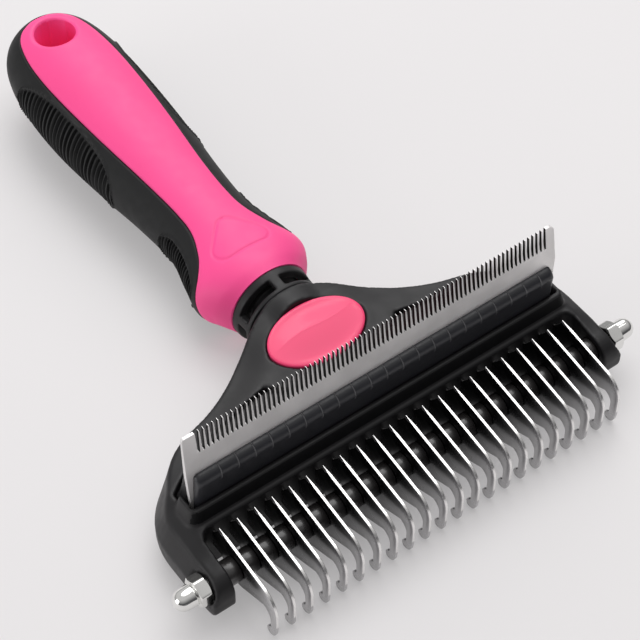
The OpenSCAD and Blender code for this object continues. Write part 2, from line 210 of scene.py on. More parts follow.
# Painted highlight: a lighter steel for the blades' edges that face up
EDGE_HIGHLIGHT = steel("rake edge painted highlight", (0.85, 0.84, 0.83), 0.30, 1)
ROD = steel("rod steel", (0.6, 0.6, 0.6), 0.25, 0)
CHROME = steel("nut chrome", (0.82, 0.82, 0.80), 0.08, 0, 0.6)
GLOSS = moulded(
    "spacer gloss", (0.022, 0.020, 0.020), 0.30, 1.2, 3, 0.2, Coat_Weight=0.7, Coat_Roughness=0.22
)


# ---------------------------------------------------------------- mesh helpers


def piece(name, points, faces, material, replaced, body="rake", angle=None):
    """A mesh object from points in millimetres, smooth apart from edges over an angle."""
    mesh = bpy.data.meshes.new(name)
    placed = (np.asarray(points, float) - (0, MID, 0)) * MM
    mesh.from_pydata(placed.tolist(), [], [tuple(int(i) for i in f) for f in faces])
    mesh.validate()
    mesh.materials.append(material)
    mesh.shade_smooth()
    if angle:
        mesh.set_sharp_from_angle(angle=math.radians(angle))
    obj = bpy.data.objects.new(name, mesh)
    bpy.context.scene.collection.objects.link(obj)
    return declare(obj, replaced, body)


def declare(obj, replaced, body="rake"):
    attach(obj, body)
    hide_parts(*([replaced] if isinstance(replaced, str) else replaced))
    return obj


def tidy(obj, weld=1e-6):
    """Welds coincident points, drops empty faces and turns every face outwards."""
    bm = bmesh.new()
    bm.from_mesh(obj.data)
    bmesh.ops.remove_doubles(bm, verts=bm.verts, dist=weld)
    bmesh.ops.dissolve_degenerate(bm, edges=bm.edges, dist=weld / 2)
    bmesh.ops.recalc_face_normals(bm, faces=bm.faces)
    bm.to_mesh(obj.data)
    bm.free()
    return obj


def apply_modifiers(obj):
    bpy.context.view_layer.update()
    shaped = obj.evaluated_get(bpy.context.evaluated_depsgraph_get())
    mesh = bpy.data.meshes.new_from_object(shaped)
    obj.modifiers.clear()
    obj.data = mesh
    return obj


def cut(obj, points, faces):
    """Takes a closed tool, given by its points in millimetres, out of an object."""
    mesh = bpy.data.meshes.new("tool")
    mesh.from_pydata(((np.asarray(points) - (0, MID, 0)) * MM).tolist(), [], faces)
    tool = bpy.data.objects.new("tool", mesh)
    bpy.context.scene.collection.objects.link(tool)
    tidy(tool)
    boolean = obj.modifiers.new("cut", "BOOLEAN")
    boolean.operation = "DIFFERENCE"
    boolean.solver = "EXACT"
    boolean.object = tool
    apply_modifiers(obj)
    bpy.data.objects.remove(tool)
    return obj


def grid_faces(rows, columns, wrap=False):
    """Quads between rows of points, with the columns joined in a ring if wrap."""
    last = columns if wrap else columns - 1
    return [
        (i * columns + j, i * columns + (j + 1) % columns,
         (i + 1) * columns + (j + 1) % columns, (i + 1) * columns + j)
        for i in range(rows - 1)
        for j in range(last)
    ]


def ring_faces(rows, columns):
    """Quads between closed rings of points, with a face over each end."""
    faces = grid_faces(rows, columns, wrap=True)
    faces.append(tuple(range(columns))[::-1])
    faces.append(tuple((rows - 1) * columns + j for j in range(columns)))
    return faces


def lathe(profile, steps, centre, axis):
    """Points and faces of a closed profile of radius and height, turned about an axis."""
    u, v, w = [Vector([float((axis + k) % 3 == i) for i in range(3)]) for k in (1, 2, 0)]
    points = []
    for k in range(steps):
        a = 2 * math.pi * k / steps
        for r, h in profile:
            around = u * (r * math.cos(a)) + v * (r * math.sin(a))
            points.append(tuple(Vector(centre) + around + w * h))
    n = len(profile)
    faces = []
    for k in range(steps):
        here, there = k * n, (k + 1) % steps * n
        for j in range(n):
            after = (j + 1) % n
            faces.append((here + j, there + j, there + after, here + after))
    return points, faces


def arc(centre, r, a0, a1, steps=12):
    a = np.radians(np.linspace(a0, a1, steps + 1))
    return [(centre[0] + r * math.cos(t), centre[1] + r * math.sin(t)) for t in a]


def bezier(a, b, c, d, steps=14):
    t = np.linspace(0, 1, steps + 1)[:, None]
    a, b, c, d = [np.array(p, float) for p in (a, b, c, d)]
    u = 1 - t
    return (u**3 * a + 3 * u * u * t * b + 3 * u * t * t * c + t**3 * d).tolist()


def smoothstep(x, low, high):
    t = np.clip((x - low) / (high - low), 0, 1)
    return t * t * (3 - 2 * t)


def curve(rows, x, column):
    """Smooth curve through the rows of a table."""
    xs, ys = rows[:, 0], rows[:, column]
    low = np.maximum(np.arange(len(xs)) - 1, 0)
    high = np.minimum(np.arange(len(xs)) + 1, len(xs) - 1)
    slope = (ys[high] - ys[low]) / (xs[high] - xs[low])
    i = np.clip(np.searchsorted(xs, x) - 1, 0, len(xs) - 2)
    h = xs[i + 1] - xs[i]
    t = np.clip((x - xs[i]) / h, 0, 1)
    return (
        (2 * t**3 - 3 * t**2 + 1) * ys[i] + (t**3 - 2 * t**2 + t) * h * slope[i]
        + (3 * t**2 - 2 * t**3) * ys[i + 1] + (t**3 - t**2) * h * slope[i + 1]
    )


# ---------------------------------------------------------------- shapes from distances


def sharper(a, b, r):
    """Intersection of two distance fields with its edge rounded to radius r."""
    return np.minimum(np.maximum(a + r, b + r), 0) + np.hypot(
        np.maximum(a + r, 0), np.maximum(b + r, 0)
    ) - r


def joined(a, b, r):
    """Union of two distance fields with a fillet of radius r."""
    return -sharper(-a, -b, r)


def polygon_distance(x, y, outline):
    """Signed distance, negative inside, from points to a closed outline."""
    p = np.asarray(outline, float)
    best = np.full(x.shape, 1e9)
    inside = np.zeros(x.shape, bool)
    for (ax, ay), (bx, by) in zip(p, np.roll(p, -1, 0)):
        ex, ey = bx - ax, by - ay
        if ex == 0 and ey == 0:
            continue
        t = np.clip(((x - ax) * ex + (y - ay) * ey) / (ex * ex + ey * ey), 0, 1)
        best = np.minimum(best, (x - ax - t * ex) ** 2 + (y - ay - t * ey) ** 2)
        if ey != 0:
            inside ^= ((ay > y) != (by > y)) & (x < ax + ex * (y - ay) / ey)
    return np.sqrt(best) * np.where(inside, -1, 1)


def rectangle_distance(x, y, half_x, y0, y1, r):
    dx = np.abs(x) - half_x + r
    dy = np.abs(y - (y0 + y1) / 2) - (y1 - y0) / 2 + r
    return np.minimum(np.maximum(dx, dy), 0) + np.hypot(np.maximum(dx, 0), np.maximum(dy, 0)) - r


def ellipse_distance(x, y, a, b):
    k = np.hypot(x / a, y / b)
    return (k - 1) * k / np.maximum(np.hypot(x / a**2, y / b**2), 1e-6)


def skin(field, corner, step):
    """Quad mesh of a field's zero surface on a regular grid, by surface nets."""
    inside = field < 0
    cells = tuple(n - 1 for n in field.shape)
    offsets = [(i, j, k) for i in (0, 1) for j in (0, 1) for k in (0, 1)]

    def at(array, o):
        return array[tuple(slice(o[d], o[d] + cells[d]) for d in range(3))]

    count = sum(at(inside, o).astype(np.int8) for o in offsets)
    mixed = (count > 0) & (count < 8)
    index = np.full(cells, -1)
    index[mixed] = np.arange(mixed.sum())
    where = np.argwhere(mixed).astype(float)
    total = np.zeros_like(where)
    hits = np.zeros(len(where))
    for a in offsets:
        for d in range(3):
            if a[d]:
                continue
            b = tuple(a[i] + (i == d) for i in range(3))
            fa, fb = at(field, a)[mixed], at(field, b)[mixed]
            crossed = (fa < 0) != (fb < 0)
            t = np.where(crossed, fa / np.where(crossed, fa - fb, 1), 0)
            spot = np.tile(np.array(a, float), (len(t), 1))
            spot[:, d] += t
            total += spot * crossed[:, None]
            hits += crossed
    points = np.array(corner) + step * (where + total / hits[:, None])
    faces = []
    for d in range(3):
        e, f = (d + 1) % 3, (d + 2) % 3
        low = [slice(None)] * 3
        high = [slice(None)] * 3
        low[d], high[d] = slice(0, -1), slice(1, None)
        out = inside[tuple(low)] & ~inside[tuple(high)]
        into = ~inside[tuple(low)] & inside[tuple(high)]
        for mask, order in ((out, (0, 1, 2, 3)), (into, (3, 2, 1, 0))):
            spots = np.argwhere(mask)
            spots = spots[(spots[:, e] > 0) & (spots[:, f] > 0)]
            spots = spots[(spots[:, e] < cells[e]) & (spots[:, f] < cells[f])]
            corners = []
            for de, df in ((-1, -1), (0, -1), (0, 0), (-1, 0)):
                s = spots.copy()
                s[:, e] += de
                s[:, f] += df
                corners.append(index[s[:, 0], s[:, 1], s[:, 2]])
            faces.append(np.stack([corners[i] for i in order], 1))
    return points, np.concatenate(faces)


def solid(distance, half_x, s0, s1, z0, z1, step):
    """Mesh of a shape that is the same on both sides of X = 0, from its distance function."""
    n = int(math.ceil(half_x / step))
    x = np.arange(0, n + 1) * step
    s = np.arange(s0, s1 + step, step)
    z = np.arange(z0, z1 + step, step)
    half = distance(*np.meshgrid(x, s, z, indexing="ij"))
    field = np.concatenate([half[:0:-1], half])
    return skin(field, (-x[-1], s0, z0), step)


# ---------------------------------------------------------------- head


VISOR = np.array([
    (0, 61.2), (3, 61.0), (6, 60.4), (9.5, 59.1), (13, 57), (15.5, 55.2), (19.3, 52.6),
    (24, 49.5), (28.6, 47), (33, 45.2), (37.2, 44),
])


def head_outline():
    half = [(x, float(curve(VISOR, np.array(x), 1))) for x in np.linspace(0.5, 37.2, 30)]
    half += bezier((37.2, 44), (47.5, 41.2), (HEAD_HALF, 35), (HEAD_HALF, 25))
    half += [(HEAD_HALF, 17), (HEAD_HALF - 0.4, 9), (HEAD_HALF - 0.7, 3)]
    return half + [(-x, s) for x, s in half[::-1]]


def flange_outline(grow):
    half_x = COMB_HALF + 0.4 + grow
    half = bezier((17.5, 43.1 + grow), (30, 41.2 + grow), (40, 39 + grow), (half_x, 31.4 + grow))
    half += [(half_x, 24.6 - grow)]
    return half + [(-x, s) for x, s in half[::-1]]


def flange_distance(x, s, grow):
    d = polygon_distance(x, s, flange_outline(grow))
    return np.maximum(d, -ellipse_distance(x, s - 49.6, 21.0 - grow, 13.6 - grow))


def head_distance(x, s, z):
    flat_x, flat_s = x[:, :, 0], s[:, :, 0]
    line = s[0, :, 0]
    plan = polygon_distance(flat_x, flat_s, head_outline())[:, :, None]
    # The plate is crowned at its edge and rises to the visor over the neck
    fall = 1.3 * smoothstep(plan, -9, 0) * smoothstep(s, 28, 36)
    climb = 0.165 * np.clip(s - 42, 0, 15.5) / (1 + (x / 16) ** 6)
    climb = climb + 2.1 * np.clip((s - 56.8) / 4.4, 0, 1.1) ** 1.2 / (1 + (x / 9) ** 2.5)
    inner = np.interp(line, (7, 12.9, 20, 25, 34), (14.8, 14.8, 16.5, 16.8, 17.2))[None, :, None]
    top = 14.5 + (inner - 14.5) * smoothstep(-x, -55.8, -50.5) - fall + climb
    # Side walls lean in above their widest line, at the arms only
    lean = smoothstep(-s, -44, -33)
    side = plan + lean * 2.3 * np.clip((z - 9) / 5.7, 0, 1.3)
    side = side + 1.2 * np.clip((7 - z) / 6, 0, 1) ** 2
    stations, heights = (7, 11, 16, 21, 32, 54, 61), (4.2, 3.4, 3.0, 1.5, 1.4, 1.3, 0.8)
    bottom = np.interp(line, stations, heights)[None, :, None]
    d = sharper(z - top, 7.3 - s, 5.2)
    d = sharper(d, bottom - z, 3.0)
    d = sharper(d, side, 0.5)
    # Neck under the visor, and the narrower tube that the collar's windows show
    reach = np.hypot(x, z - NECK_Z)
    d = joined(d, sharper(reach - NECK_R, np.abs(s - 56) - 5, 0.6), 0.8)
    d = np.minimum(d, np.maximum(reach - 6.0, np.abs(s - 63.5) - 3.6))
    d = np.minimum(d, np.maximum(reach - 8.1, np.abs(s - 66.5) - 0.5))
    # Plinth in front of the comb
    wall = rectangle_distance(x, s, 52.0, 21.8, 30.0, 2.5) + 0.30 * (z - 16.6)
    plinth = np.maximum(sharper(wall * 0.96, z - PLINTH_Z, 0.4), 14 - z)
    d = joined(d, plinth, 0.35)
    # Bay, axle holes, spot faces
    bay = rectangle_distance(x, s, BAY_HALF, -20, BAY_BACK, 2.6)
    d = sharper(d, -bay, 0.4)
    from_axle = np.hypot(s - AXLE_S, z - AXLE_Z)
    d = sharper(d, BORE_R - from_axle, 0.3)
    d = sharper(d, -np.maximum(from_axle - 4.0, 55.3 - x), 0.2)
    # Pocket for the comb's holder and recess for the badge
    pocket = flange_distance(flat_x, flat_s, 0.35)[:, :, None]
    d = sharper(d, -np.maximum(pocket, POCKET_Z - z), 0.3)
    recess = ellipse_distance(x, s - BADGE_S, 12.62, 7.82)
    d = sharper(d, -np.maximum(recess, 15.3 - z), 0.35)
    # Counterbores under the comb
    for at in (14, 38):
        bore = np.hypot(x - at, s - 29.2)
        d = sharper(d, -np.maximum(bore - 3.0, z - 5.6), 0.3)
    return d


points, faces = solid(head_distance, 58, 5.5, 68, -0.6, 22.4, 0.45)
head = piece("head_shell", points, faces, HEAD, "head_frame")
# Painted shade: faces of the plinth's front wall that don't face up take the near-black copy of
# the head plastic
head.data.materials.append(SHADE)
for face in head.data.polygons:
    x, s, z = face.center.x / MM, face.center.y / MM + MID, face.center.z / MM
    plinth_wall_shade = abs(x) < 53.5 and 21.2 < s < 23.4 and 17.3 < z < 20.0
    if plinth_wall_shade and face.normal.z < 0.6:
        face.material_index = 1


def holder_distance(x, s, z):
    flat = flange_distance(x[:, :, 0], s[:, :, 0], 0)[:, :, None]
    flange = sharper(flat, np.abs(z - (FLANGE_Z + POCKET_Z) / 2) - (FLANGE_Z - POCKET_Z) / 2, 0.3)
    front = comb_face(z) + 1.05 - s
    back = (s - 31.6 + (z - FLANGE_Z) * 0.245) * 0.97
    wedge = sharper(sharper(front, back, 0.25), z - BEND_Z + 0.3, 0.25)
    wedge = sharper(wedge, np.abs(x) - COMB_HALF + 0.4, 0.4)
    return joined(flange, np.maximum(wedge, POCKET_Z + 0.3 - z), 0.8)


def comb_face(z):
    """Station of the comb blade's front face at height z."""
    return np.interp(z, (16.1, 24, 30.2, 36, 41), (25.7, 25.75, 26.0, 26.6, 27.3))


points, faces = solid(holder_distance, 51, 23.6, 46, 13.6, 31, 0.4)
piece("comb_seat", points, faces, HEAD, "comb_holder")


def collar_distance(x, s, z):
    r = np.hypot(x, z - NECK_Z)
    outer = np.interp(s[0, :, 0], (59, 62, 67.3), (10.0, 10.15, 10.5))[None, :, None]
    d = sharper(sharper(r - outer, 8.3 - r, 0.3), np.abs(s - 64.15) - 3.15, 0.25)
    angle = np.degrees(np.arctan2(x, z - NECK_Z))
    for middle, half in ((39.5, 32.5), (128, 44)):
        off = (np.abs(angle - middle) - half) * np.pi / 180 * r
        slot = sharper(off, np.abs(s - 63.7) - 1.5, 0.5)
        d = sharper(d, -slot, 0.25)
    return d


points, faces = solid(collar_distance, 11.4, 60.5, 68, -0.6, 22.2, 0.28)
piece("collar_ring", points, faces, HEAD, "neck_collar")


# ---------------------------------------------------------------- handle

# Rows of station, half width, top and bottom
FORM = np.array([
    (67.3, 10.5, 21.3, 1.2), (70.5, 13.2, 22.0, 2.0), (75, 15.2, 22.3, 1.2), (82, 13.9, 22.3, 1.7),
    (91, 11.9, 22.5, 3.4), (104, 12.4, 23.2, 3.3), (120, 14.1, 24.9, 1.9), (138, 15.2, 26.6, 0.5),
    (152, 15.0, 27.2, 2.0), (162, 13.2, 26.9, 4.9), (167.2, 10.2, 25.3, 8.4),
    (169.7, 6.1, 22.7, 11.6), (171.0, 1.2, 18.2, 16.2),
])
# Rows of station and the angle, from the top, at which the grip's edge runs
BARE = np.array([
    (70.5, 176), (72.5, 128), (74.2, 95), (77.7, 58), (84.6, 39.5), (93.7, 36), (111.5, 38),
    (129.9, 41.6), (149.8, 44), (160.8, 41.3), (165.4, 33), (167.3, 14), (168.1, 4), (168.5, 0),
])
GRIP_T = 2.2
HOLE_S, HOLE_R, HOLE_RIM = 159.3, 5.25, 1.4


def mean_radius(s):
    """Rough radius of the handle's section, to turn angles into lengths."""
    return (curve(FORM, s, 1) * 0.5 + (curve(FORM, s, 2) - curve(FORM, s, 3)) * 0.25)[:, None]


def section(s, angle, grow):
    """Points of the handle's surface at station s and an angle from the top."""
    w, top, low = [curve(FORM, s, k) for k in (1, 2, 3)]
    w, top, low = w + grow, top + grow, low - grow
    a = np.radians(angle)
    # Round above its widest line, fuller below
    power = np.where(np.cos(a) > 0, 1.0, 2 / 2.15)
    x = np.sign(np.sin(a)) * np.abs(np.sin(a)) ** power
    z = np.sign(np.cos(a)) * np.abs(np.cos(a)) ** power
    return np.stack([w * x, s + 0 * x, (top + low) / 2 + (top - low) / 2 * z], -1)


def bare_half(s):
    return np.clip(curve(BARE, np.clip(s, 70.5, 168.5), 1), 0, 176)


def lay_rows(*spans):
    """Stations in spans of (start, end, step)."""
    out = [np.arange(a, b - step / 2, step) for a, b, step in spans]
    return np.concatenate(out + [np.array([spans[-1][1]])])


def rounded_edge(gap_mm, width, depth):
    return -depth * np.clip(1 - gap_mm / width, 0, 1) ** 2


# Ribbed panels on the grip's sides: station, and angle from the top of the panel's upper edge
PANELS = (
    (np.array([
        (113.2, 96), (113.8, 84.4), (115.4, 70.5), (118.4, 59), (123.2, 52.5), (130.5, 49.2),
        (137.8, 49.2), (144, 51.5), (147.5, 55.3), (151, 61.3), (154.2, 72.9), (155.4, 92),
    ]), 1.47),
    (np.array([
        (77.4, 92), (78.2, 75), (80.5, 67), (83.8, 62.5), (88, 62.5), (92.2, 65.2), (94.2, 70.5),
        (95.4, 77), (96, 92),
    ]), 1.02),
)


def panel_relief(s, angle):
    """How far the grip's surface stands out at a panel: its bead, floor and ribs."""
    side = np.minimum(angle, 360 - angle)
    relief = np.zeros(np.broadcast(s, angle).shape)
    for rows, pitch in PANELS:
        upper = curve(rows, s, 1)
        lower = 94 + 0.8 * (94 - upper)
        # Distance in from the panel's edge, taking a degree as a quarter of a millimetre
        deep = np.minimum(side - upper, lower - side) * 0.25
        deep = np.where((s > rows[0, 0]) & (s < rows[-1, 0]), deep, -9)
        floor = -0.95 * smoothstep(deep, 0, 0.9)
        wave = np.cos(2 * np.pi * s / pitch)
        ribs = 0.85 * np.clip(0.5 + 1.6 * (wave - 0.25), 0, 1) * smoothstep(deep, 0.1, 1.1)
        bead = 0.36 * np.exp(-(((deep + 0.5) / 0.34) ** 2))
        relief += floor + ribs + bead
    return relief


def grip_mesh():
    s = lay_rows(
        (71.4, 77, 0.25), (77, 96.5, 0.165), (96.5, 111, 0.7), (111, 156, 0.215),
        (156, 166, 0.5), (166, 171.0, 0.14),
    )
    n_out, n_in = 131, 17
    half = bare_half(s)[:, None]
    spread = np.linspace(0, 1, n_out)[None, :]
    # More points near the two edges, where the surface turns down into the parting line
    spread = spread - 0.06 * np.sin(4 * np.pi * spread) / np.pi
    angle = half + (360 - 2 * half) * spread
    gap = np.minimum(angle - half, 360 - half - angle) * np.pi / 180 * mean_radius(s)
    closed = smoothstep(s, 168.0, 168.5)[:, None]
    grow = rounded_edge(gap, 0.7, 0.5) * (1 - closed) + panel_relief(s[:, None], angle)
    outer = section(s[:, None] + 0 * angle, angle, grow)
    inner_rows = s <= 168.6
    back = np.linspace(1, 0, n_in)[None, :]
    inner_angle = (half + (360 - 2 * half) * back)[inner_rows]
    inner = section(s[inner_rows, None] + 0 * inner_angle, inner_angle, -GRIP_T)
    rows, rows_in = len(s), int(inner_rows.sum())
    points = np.concatenate([outer.reshape(-1, 3), inner.reshape(-1, 3)])
    faces = grid_faces(rows, n_out)
    base = rows * n_out
    faces += [tuple(base + i for i in f) for f in grid_faces(rows_in, n_in)]
    for i in range(rows_in - 1):
        a, b = i * n_out, (i + 1) * n_out
        c, d = base + i * n_in, base + (i + 1) * n_in
        faces.append((a + n_out - 1, c, d, b + n_out - 1))
        faces.append((c + n_in - 1, a, b, d + n_in - 1))
    # Front edge between the outer and inner skins, and the two tail caps
    front = [(n_out - 1 - j * (n_out - 1) // (n_in - 1), base + j) for j in range(n_in)]
    for (a, c), (b, d) in zip(front, front[1:]):
        faces.append(tuple(range(b, a + 1)) + (c, d))
    faces.append(tuple((rows - 1) * n_out + j for j in range(n_out - 1)))
    faces.append(tuple(base + (rows_in - 1) * n_in + j for j in range(n_in - 1)))
    return points, faces


TRIANGLE = np.array([(-7.6, 77.2), (7.6, 77.2), (0, 85.4)])
TRIANGLE_ROUND = 2.9


def triangle_groove(x, s):
    """Depth of the engraved rounded triangle on the core's top."""
    centre = TRIANGLE.mean(0)
    shrunk = centre + (TRIANGLE - centre) * 0.6
    d = polygon_distance(x, s, shrunk) - TRIANGLE_ROUND
    return -0.24 * np.exp(-((d / 0.30) ** 2))


def core_mesh():
    s = lay_rows((67.3, 78, 0.22), (78, 102, 0.3), (102, 150, 1.0), (150, 167.7, 0.25))
    n_bare, n_under = 101, 21
    half = bare_half(s)[:, None]
    spread = np.linspace(-1, 1, n_bare)[None, :]
    spread = spread + 0.12 * np.sin(np.pi * spread) / np.pi * 2
    spread = spread / np.abs(spread).max()
    angle = half * spread
    gap = half * (1 - np.abs(spread)) * np.pi / 180 * mean_radius(s)
    apart = smoothstep(s, 71.0, 71.6)[:, None]
    grow = 0.15 + rounded_edge(gap, 0.6, 0.4) * apart
    flat = section(s[:, None] + 0 * angle, angle, grow)
    x, y = flat[..., 0], flat[..., 1]
    grow = grow + triangle_groove(x, y) + hole_rim(x, y)
    sunk = smoothstep(s, 167.2, 167.6)[:, None]
    bare = section(s[:, None] + 0 * angle, angle, grow - (GRIP_T + 0.15) * sunk)
    under = half + 1.2 + (360 - 2 * half - 2.4) * np.linspace(0, 1, n_under)[None, :]
    depth = 0.15 - (GRIP_T + 0.15 + 0.05) * smoothstep(s, 71.2, 71.5)[:, None]
    covered = section(s[:, None] + 0 * under, under, depth)
    ring = np.concatenate([bare, covered], 1)
    return ring.reshape(-1, 3), ring_faces(*ring.shape[:2])


def hole_rim(x, s):
    """Depth by which the surface turns down into the hang hole."""
    inside = np.clip((HOLE_R + HOLE_RIM - np.hypot(x, s - HOLE_S)) / HOLE_RIM, 0, 1)
    return -HOLE_RIM * (1 - np.sqrt(1 - 0.96 * inside**2))


def hole_tool(radius):
    """A cylinder that cuts the hang hole."""
    profile = [(0.0, -3.0), (radius, -3.0), (radius, 34.0), (0.0, 34.0)]
    return lathe(profile, 96, (0, HOLE_S, 0), 2)


points, faces = core_mesh()
core = piece("handle_body", points, faces, PINK, "handle_core")
cut(tidy(core), *hole_tool(HOLE_R))
points, faces = grip_mesh()
grip = piece("handle_skin", points, faces, RUBBER, "handle_grip")
cut(tidy(grip), *hole_tool(HOLE_R + 0.02))
for obj in (core, grip):
    obj.data.shade_smooth()
    obj.data.set_sharp_from_angle(angle=math.radians(50))


# ---------------------------------------------------------------- badge


def badge_mesh():
    a, b = 12.5, 7.65
    rows = [(0.0, -2.2), (0.0, -0.02), (0.1, 0.18), (0.3, 0.28), (0.6, 0.33), (0.9, 0.36)]
    rows = [(a - t, b - t, z) for t, z in rows]
    for t in np.linspace(0.02, 0.985, 64):
        rows.append(((a - 0.9) * (1 - t), (b - 0.9) * (1 - t), 0.36 + 0.75 * (1 - (1 - t) ** 2)))
    steps = 240
    points = []
    for i, (ra, rb, z) in enumerate(rows):
        for k in range(steps):
            w = 2 * math.pi * k / steps
            x, y = ra * math.cos(w), rb * math.sin(w)
            # A soft ridge runs along the dome
            k4 = 1 - min(1.0, math.hypot(x / (a - 0.9), y / (b - 0.9))) ** 4
            off = y - 0.9 - 0.07 * x + 0.5 * math.sin(x / 3.4)
            ridge = k4 * (0.1 * math.hypot(off, 0.2) - 0.05 * math.exp(-((off / 0.28) ** 2)))
            ridge = ridge if i > 5 else 0
            points.append((x, BADGE_S + y, BADGE_Z + BADGE_TILT * y + z - ridge))
    return points, ring_faces(len(rows), steps)


points, faces = badge_mesh()
piece("badge_dome", points, faces, BADGE, "badge", angle=24)


# ---------------------------------------------------------------- comb and guard


def flat_sheet(outline, holes, chords):
    """Triangles that fill an outline with holes in it, split along extra chords."""
    verts, edges = [], []
    for loop in [outline] + holes:
        start = len(verts)
        verts += [Vector(p) for p in loop]
        edges += [(start + i, start + (i + 1) % len(loop)) for i in range(len(loop))]
    for a, b in chords:
        verts += [Vector(a), Vector(b)]
        edges.append((len(verts) - 2, len(verts) - 1))
    out, _, tris, *_ = delaunay_2d_cdt(verts, edges, [], 2, 1e-5)
    kept = []
    for tri in tris:
        mid = sum((out[i] for i in tri), Vector((0, 0))) / len(tri)
        if inside_loop(mid, outline) and not any(inside_loop(mid, hole) for hole in holes):
            kept.append(tuple(tri))
    return [tuple(p) for p in out], kept


def inside_loop(p, loop):
    hit = False
    for (ax, ay), (bx, by) in zip(loop, loop[1:] + loop[:1]):
        if (ay > p[1]) != (by > p[1]) and p[0] < ax + (bx - ax) * (p[1] - ay) / (by - ay):
            hit = not hit
    return hit


def thick_sheet(flat, tris, front, back):
    """A closed plate from a filled outline, with its two faces placed by two functions."""
    n = len(flat)
    points = [front(*p) for p in flat] + [back(*p) for p in flat]
    edges = {(tri[i], tri[(i + 1) % 3]): None for tri in tris for i in range(3)}
    faces = [tuple(t) for t in tris] + [tuple(n + i for i in t[::-1]) for t in tris]
    faces += [(b, a, n + a, n + b) for a, b in edges if (b, a) not in edges]
    return points, faces


def comb_loop():
    tooth, depth, mouth, root, shift = 1.18, 5.8, 0.88, 0.58, 0.4
    left_r, right_r = 0.6, 1.6
    gaps = int((2 * COMB_HALF - 4.2) / tooth)
    base = COMB_TOP - depth
    loop = [(-COMB_HALF, FLANGE_Z)]
    loop += arc((left_r - COMB_HALF, COMB_TOP - left_r), left_r, 180, 90, 4)
    for i in range(gaps):
        x = (i - (gaps - 1) / 2) * tooth + shift
        loop += [
            (x - mouth / 2 - 0.1, COMB_TOP - 0.03), (x - mouth / 2, COMB_TOP - 0.2),
            (x - root / 2, base + 0.16), (x - root / 4, base + 0.03), (x + root / 4, base + 0.03),
            (x + root / 2, base + 0.16), (x + mouth / 2, COMB_TOP - 0.2),
            (x + mouth / 2 + 0.1, COMB_TOP - 0.03),
        ]
    loop += arc((COMB_HALF - right_r, COMB_TOP - right_r), right_r, 90, 0, 8)
    loop.append((COMB_HALF, FLANGE_Z))
    return loop


def comb_mesh():
    bends = (BEND_Z - 0.5, BEND_Z, BEND_Z + 0.5)
    chords = [((-COMB_HALF, z), (COMB_HALF, z)) for z in bends]
    flat, tris = flat_sheet(comb_loop(), [], chords)

    def thickness(z):
        return 1.0 - 0.3 * float(smoothstep(np.array(z), COMB_TOP - 6.5, COMB_TOP))

    def side(x, z, way):
        flare = 1 + float(np.interp(z, (18, 30, 40), (0, 0.6, 0.15))) / COMB_HALF
        return (x * flare, float(comb_face(z)) + (1 + way * thickness(z)) / 2, z)

    return thick_sheet(flat, tris, lambda x, z: side(x, z, -1), lambda x, z: side(x, z, 1))


points, faces = comb_mesh()
comb = tidy(piece("comb_plate", points, faces, COMB, "comb_blade"))
comb.data.set_sharp_from_angle(angle=math.radians(30))
# Painted shade: the side walls of the gaps between the teeth take the near-black steel, standing
# in for the shade in the narrow gaps
comb.data.materials.append(GAP_SHADE)
for face in comb.data.polygons:
    shaded_gap_wall = face.center.z > (COMB_TOP - 6.5) * MM and abs(face.center.x) < 48.5 * MM
    if shaded_gap_wall and abs(face.normal.x) > 0.6:
        face.material_index = 1


RIB_PITCH, RIB_COUNT, RIB_SHIFT = 4.4, 21, 0.9
GUARD_LEAN = 0.0012


def guard_mesh():
    half, top, base, bulge, face = COMB_HALF - 0.3, GUARD_TOP, FLANGE_Z + 0.02, 2.3, 24.4
    ribs = [(i - (RIB_COUNT - 1) / 2) * RIB_PITCH + RIB_SHIFT for i in range(RIB_COUNT)]
    xs = {-half, half}
    for k in (0.05, 0.15, 0.3, 0.5, 0.8, 1.2):
        xs |= {-half + k, half - k}
    for x in ribs:
        xs |= {x + d for d in (-0.3, -0.2, -0.12, 0, 0.12, 0.2, 0.3, 1.3, 2.2, 3.1)}
    xs = np.array(sorted(x for x in xs if -half <= x <= half))
    turn = np.radians(np.linspace(0, 90, 15))[1:]
    rows = []
    for x in xs:
        # The ends are rounded over and lean in a little
        end = half - abs(x)
        tuck = 0.8 * (1 - math.sqrt(1 - (1 - min(end, 1.2) / 1.2) ** 2))
        rib = 0.16 * math.exp(-((min(abs(x - r) for r in ribs) / 0.13) ** 2))
        depth = float(comb_face(top)) - face
        ring = [(float(comb_face(base)) - 0.03, base)]
        for z in np.linspace(base, top - bulge, 13):
            up = (z - base) / (top - bulge - base)
            shown = rib * float(smoothstep(np.array(up), 0.90, 1.0))
            ring.append((face + tuck - shown - 0.7 * up**2, z))
        for t in turn:
            out = rib * (1 - float(smoothstep(np.array(math.degrees(t)), 78, 88)))
            ring.append((
                face - 0.7 + tuck + (depth + 0.7 - tuck) * (1 - math.cos(t)) - out * math.cos(t),
                top - tuck - bulge + bulge * math.sin(t) + out * math.sin(t),
            ))
        ring[-1] = (float(comb_face(ring[-1][1])) - 0.03, ring[-1][1])
        rows.append([(x * (1 - GUARD_LEAN * (z - base)), s, z) for s, z in ring])
    return [p for row in rows for p in row], ring_faces(len(rows), len(rows[0]))


points, faces = guard_mesh()
guard = tidy(piece("guard_strip", points, faces, DARK, "comb_guard"))
guard.data.set_sharp_from_angle(angle=math.radians(40))
# Painted highlight: narrow strips on the ribs' upper part take the lighter plastic, standing in
# for light caught on the ribs
guard.data.materials.append(RIB)
for face in guard.data.polygons:
    x, z = face.center.x / MM, face.center.z / MM
    off = ((x / (1 - GUARD_LEAN * (z - FLANGE_Z)) - RIB_SHIFT) / RIB_PITCH) % 1.0
    if min(off, 1 - off) < 0.035 and z > 25.3 and face.normal.y < 0.2:
        face.material_index = 1


# ---------------------------------------------------------------- rake


